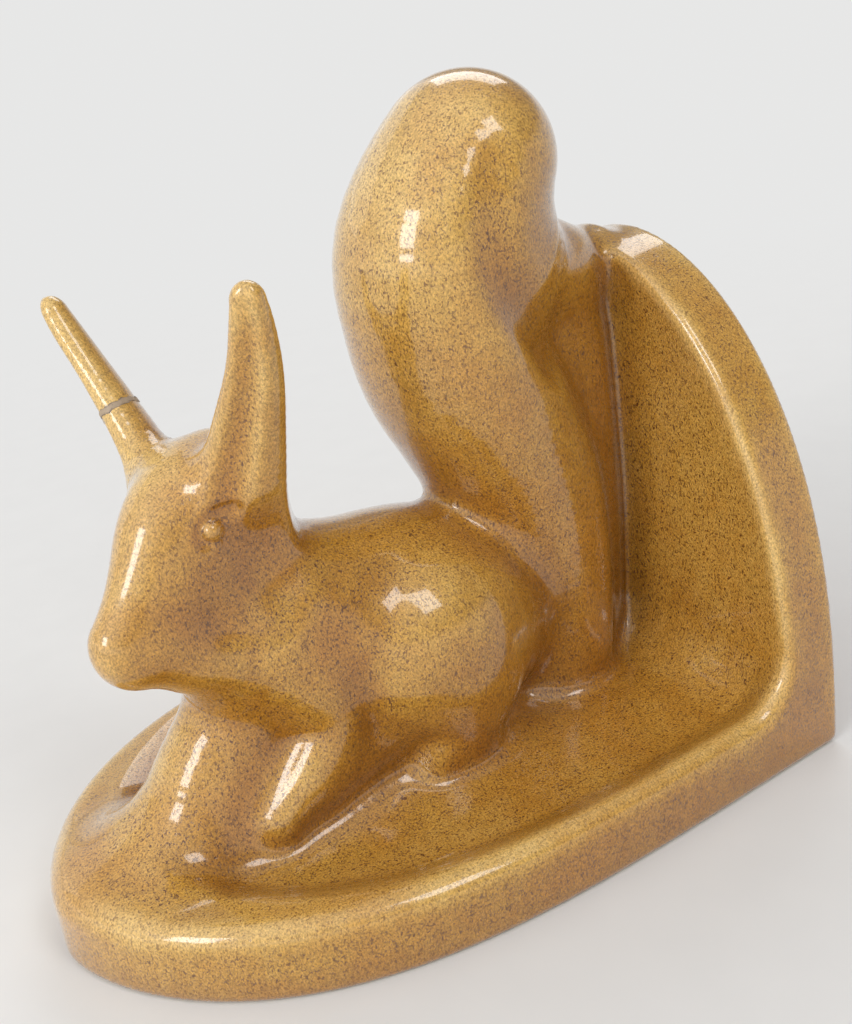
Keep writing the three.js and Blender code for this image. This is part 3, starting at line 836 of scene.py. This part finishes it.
def glazeMaterial():
    look = glazeLook
    material = bpy.data.materials.new("honey_glaze")
    material.use_nodes = True
    tree = material.node_tree
    shader = tree.nodes["Principled BSDF"]
    place = addNode(tree, "ShaderNodeTexCoord").outputs["Object"]
    drawn = addNode(tree, "ShaderNodeMapping", {"Vector": place, "Scale": look["stretch"]}).outputs[0]
    relief = addNode(tree, "ShaderNodeAttribute", attribute_name="relief").outputs["Fac"]
    relief = calculated(tree, "MAXIMUM", relief, calculated(tree, "MULTIPLY", relief, look["hollowShare"]))
    height = addNode(tree, "ShaderNodeSeparateXYZ", {"Vector": place}).outputs["Z"]

    clouds = noisy(tree, place, **look["clouds"])
    mottle = noisy(tree, drawn, **look["mottle"])
    grain = noisy(tree, drawn, **look["grain"])

    # tone by relief, height and direction, broken up by the mottling; the part by direction is painted
    # light, and the darker hollows are partly painted shade
    wander = calculated(tree, "MULTIPLY_ADD", mottle, look["mottleShare"], -look["mottleShare"] / 2)
    higher = mapped(tree, height, *look["thinnerHeights"], -look["thinner"], look["thinner"])
    wander = calculated(tree, "ADD", wander, higher)
    # painted light: faces turned up and forward are made paler, as if lit from above
    normal = addNode(tree, "ShaderNodeNewGeometry").outputs["Normal"]
    towardsPaintedLight = addNode(tree, "ShaderNodeVectorMath", {0: normal, 1: look["paintedLightFrom"]},
                     operation="DOT_PRODUCT").outputs["Value"]
    paintedLight = mapped(tree, towardsPaintedLight, *look["paintedLightRange"], *look["paintedLightTone"])
    wander = calculated(tree, "ADD", wander, paintedLight)
    # darker towards the hollows: partly glaze gathering there, partly painted shade
    level = mapped(tree, calculated(tree, "ADD", relief, wander), *look["reliefRange"], 0.0, 1.0)
    ramp = addNode(tree, "ShaderNodeValToRGB", {"Fac": level})
    stops = ramp.color_ramp.elements
    stops[0].position, stops[1].position = 0.0, 1.0
    for position, _ in look["ramp"][1:-1]:
        stops.new(position)
    for stop, (_, colour) in zip(stops, look["ramp"]):
        stop.color = opaque(colour)
    warmer = mapped(tree, clouds, *look["cloudRange"], 0.0, look["cloudShare"])
    tone = tinted(tree, warmer, ramp.outputs[0], opaque(look["amber"]))
    edge = calculated(tree, "ADD", height, calculated(tree, "MULTIPLY", mottle, look["footWander"]))
    gathered = mapped(tree, edge, *look["footHeights"], look["footShare"], 0.0)
    tone = tinted(tree, gathered, tone, opaque(look["footTone"]))
    shade = mapped(tree, grain, *look["grainRange"], *look["grainShade"])
    tone = tinted(tree, 1.0, tone, shade, "MULTIPLY")

    # specks, thinner on the edges
    thick = mapped(tree, relief, *look["edgeRelief"], 1.0, look["edgeSpecks"])
    specks = speckled(tree, drawn, look["speckScale"], look["speckAmount"])
    specks = calculated(tree, "MULTIPLY", specks, thick)
    spots = speckled(tree, drawn, look["spotScale"], look["spotAmount"])
    spots = calculated(tree, "MULTIPLY", spots, thick)
    marks = calculated(tree, "MAXIMUM", calculated(tree, "MULTIPLY", specks, look["speckShare"]), spots)
    tone = tinted(tree, marks, tone, opaque(look["speck"]))

    bare = mapped(tree, height, *look["bareHeights"], 1.0, 0.0)
    tone = tinted(tree, bare, tone, opaque(look["bareClay"]))
    tree.links.new(tone, shader.inputs["Base Color"])

    roughSpread = look["roughSpread"]
    rough = calculated(tree, "MULTIPLY_ADD", mottle, roughSpread, look["roughness"] - roughSpread / 2)
    rough = calculated(tree, "MULTIPLY_ADD", marks, roughSpread, rough)
    rough = calculated(tree, "MULTIPLY_ADD", bare, look["bareRoughness"], rough)
    tree.links.new(rough, shader.inputs["Roughness"])
    tree.links.new(mapped(tree, bare, 0.0, 1.0, 1.0, 0.0), shader.inputs["Coat Weight"])
    shader.inputs["Coat Roughness"].default_value = look["coatRoughness"]

    skinWaves = calculated(tree, "MULTIPLY_ADD", grain, look["grainWaves"], mottle)
    bumped = calculated(tree, "SUBTRACT", skinWaves, marks)
    bump = addNode(tree, "ShaderNodeBump", {"Height": bumped, "Strength": look["bumpStrength"],
                                            "Distance": look["bumpDepth"]})
    tree.links.new(bump.outputs[0], shader.inputs["Normal"])
    return material


glueLook = {
    "dried": (0.42, 0.32, 0.22),
    "dirt": (0.13, 0.095, 0.075),
    "dirtScale": 1300.0,
    "dirtAmount": 0.14,
    "dirtShare": 0.5,
    "edgeRange": (0.55, 0.9),  # of the half-thickness, where dirt sticks to the edges
    "edgeShare": 0.9,
    "edgeWander": 0.5,
    "lumps": {"scale": 1300.0, "detail": 3.0},
    "roughness": 0.45,
    "roughSpread": 0.3,
    "bumpStrength": 0.6,
    "bumpDepth": 0.0002,
}


def glueMaterial():
    look = glueLook
    material = bpy.data.materials.new("dried_glue")
    material.use_nodes = True
    tree = material.node_tree
    shader = tree.nodes["Principled BSDF"]
    place = addNode(tree, "ShaderNodeTexCoord").outputs["Object"]
    across = addNode(tree, "ShaderNodeAttribute", attribute_name="across").outputs["Fac"]
    lumps = noisy(tree, place, **look["lumps"])
    specks = speckled(tree, place, look["dirtScale"], look["dirtAmount"])
    wander = calculated(tree, "MULTIPLY_ADD", lumps, look["edgeWander"], -look["edgeWander"] / 2)
    edge = mapped(tree, calculated(tree, "ADD", across, wander), *look["edgeRange"], 0.0, look["edgeShare"])
    dirt = calculated(tree, "MAXIMUM", calculated(tree, "MULTIPLY", specks, look["dirtShare"]), edge)
    tone = tinted(tree, dirt, opaque(look["dried"]), opaque(look["dirt"]))
    tree.links.new(tone, shader.inputs["Base Color"])
    roughSpread = look["roughSpread"]
    rough = calculated(tree, "MULTIPLY_ADD", lumps, roughSpread, look["roughness"] - roughSpread / 2)
    tree.links.new(rough, shader.inputs["Roughness"])
    bump = addNode(tree, "ShaderNodeBump", {"Height": lumps, "Strength": look["bumpStrength"],
                                            "Distance": look["bumpDepth"]})
    tree.links.new(bump.outputs[0], shader.inputs["Normal"])
    return material


glaze, glue = glazeMaterial(), glueMaterial()
for node, piece in pieces.items():
    piece.data.materials.append(glue if node == "ear_glue" else glaze)
print("glaze and glue on", len(pieces), "pieces")


# Camera at the photo's angle
cameraSetup = {
    "place": (-129.1, -226.7, 180.5),
    "right": (0.8041, -0.5813, -0.1249),
    "up": (0.3238, 0.2519, 0.912),
    "back": (-0.4986, -0.7737, 0.3907),
    "focalPixels": 1300.0,
    "tallPixels": 1024.0,
    "sensor": 36.0,
    "clipStart": 0.01,
}
cameraData = bpy.data.cameras.new("camera")
cameraData.sensor_width = cameraSetup["sensor"]
cameraData.lens = cameraSetup["focalPixels"] * cameraData.sensor_width / cameraSetup["tallPixels"]
cameraData.clip_start = cameraSetup["clipStart"]
camera = bpy.data.objects.new("camera", cameraData)
axes = Matrix((cameraSetup["right"], cameraSetup["up"], cameraSetup["back"])).transposed()
camera.matrix_world = Matrix.Translation(Vector(cameraSetup["place"]) * mm) @ axes.to_4x4()
bpy.context.scene.collection.objects.link(camera)
bpy.context.scene.camera = camera

# Floor, lamps and a plain grey room with a soft glow
studio = {
    "floorReach": 30.0,
    "floorTone": (0.80, 0.795, 0.78),
    "floorRoughness": 0.8,
    "paper": {"scale": 60.0, "detail": 4.0},
    "paperRange": (0.3, 0.7),
    "paperShade": (0.99, 1.01),
    "floorFade": (0.2, 0.6),           # m from the object, where the floor turns into the plain backdrop
    "backdropTone": (0.80, 0.80, 0.795),
    "roomTone": (0.22, 0.22, 0.225),
    "glowTowards": (-0.62, -0.15, 0.77),  # a pale wall and ceiling on the viewer's left, without edges
    "glow": 0.9,
    "glowFocus": 2.0,
    "wallTop": (0.16, 0.32),           # height of the pale backdrop, as a sine of the angle above the floor
    "aim": (0.0, 0.0, 0.05),
    "lamps": {  # direction from the object, distance and size in m, watts
        "window_front": {"towards": (0.1, -0.65, 0.75), "distance": 1.5, "size": (0.4, 0.6), "energy": 3.5},
        "window_behind": {"towards": (0.5, 0.52, 0.7), "distance": 1.6, "size": (1.0, 0.6), "energy": 5.0},
        "wall_behind": {"towards": (-0.1, 0.85, 0.45), "distance": 1.6, "size": (2.0, 0.7), "energy": 2.5},
        "window_left": {"towards": (-0.83, -0.25, 0.5), "distance": 1.3, "size": (0.35, 0.5),
                        "energy": 4.0},
    },
}


def floorMaterial():
    material = bpy.data.materials.new("pale_floor")
    material.use_nodes = True
    tree = material.node_tree
    shader = tree.nodes["Principled BSDF"]
    place = addNode(tree, "ShaderNodeTexCoord").outputs["Object"]
    paper = noisy(tree, place, **studio["paper"])
    paper = mapped(tree, paper, *studio["paperRange"], *studio["paperShade"])
    tone = tinted(tree, 1.0, opaque(studio["floorTone"]), paper, "MULTIPLY")
    tree.links.new(tone, shader.inputs["Base Color"])
    shader.inputs["Roughness"].default_value = studio["floorRoughness"]
    away = addNode(tree, "ShaderNodeVectorMath", {0: place}, operation="LENGTH").outputs["Value"]
    light = addNode(tree, "ShaderNodeLightPath").outputs
    seen = calculated(tree, "MAXIMUM", light["Is Camera Ray"], light["Is Glossy Ray"])
    seen = calculated(tree, "MAXIMUM", seen, light["Is Transmission Ray"])
    fade = calculated(tree, "MULTIPLY", seen, mapped(tree, away, *studio["floorFade"], 0.0, 1.0))
    plain = addNode(tree, "ShaderNodeEmission", {"Color": opaque(studio["backdropTone"])}).outputs[0]
    both = addNode(tree, "ShaderNodeMixShader", {0: fade, 1: shader.outputs[0], 2: plain}).outputs[0]
    tree.links.new(both, tree.nodes["Material Output"].inputs["Surface"])
    return material


reach = studio["floorReach"]
floorMesh = bpy.data.meshes.new("floor")
floorMesh.from_pydata([(-reach, -reach, 0), (reach, -reach, 0), (reach, reach, 0), (-reach, reach, 0)], [],
                      [(0, 1, 2, 3)])
floorMesh.materials.append(floorMaterial())
floor = bpy.data.objects.new("floor", floorMesh)
bpy.context.scene.collection.objects.link(floor)

for name, setup in studio["lamps"].items():
    lampData = bpy.data.lights.new(name, "AREA")
    lampData.shape = "RECTANGLE"
    lampData.size, lampData.size_y = setup["size"]
    lampData.energy = setup["energy"]
    lamp = bpy.data.objects.new(name, lampData)
    towards = Vector(setup["towards"]).normalized()
    lamp.location = Vector(studio["aim"]) + towards * setup["distance"]
    lamp.rotation_euler = towards.to_track_quat("Z", "Y").to_euler()
    bpy.context.scene.collection.objects.link(lamp)

world = bpy.data.worlds.new("studio")
bpy.context.scene.world = world
world.use_nodes = True
room = world.node_tree
around = addNode(room, "ShaderNodeTexCoord").outputs["Generated"]
rise = addNode(room, "ShaderNodeSeparateXYZ", {"Vector": around}).outputs["Z"]
wall = tinted(room, mapped(room, rise, *studio["wallTop"], 0.0, 1.0), opaque(studio["backdropTone"]),
              opaque(studio["roomTone"]))
facing = addNode(room, "ShaderNodeVectorMath", {0: around, 1: Vector(studio["glowTowards"]).normalized()},
                 operation="DOT_PRODUCT").outputs["Value"]
glow = calculated(room, "POWER", calculated(room, "MAXIMUM", facing, 0.0), studio["glowFocus"])
lit = tinted(room, 1.0, wall, calculated(room, "MULTIPLY", glow, studio["glow"]), "ADD")
seen = addNode(room, "ShaderNodeLightPath").outputs["Is Camera Ray"]
room.links.new(tinted(room, seen, lit, wall), room.nodes["Background"].inputs["Color"])
print("floor and lamps ready")

bpy.context.scene.view_settings.view_transform = "Standard"
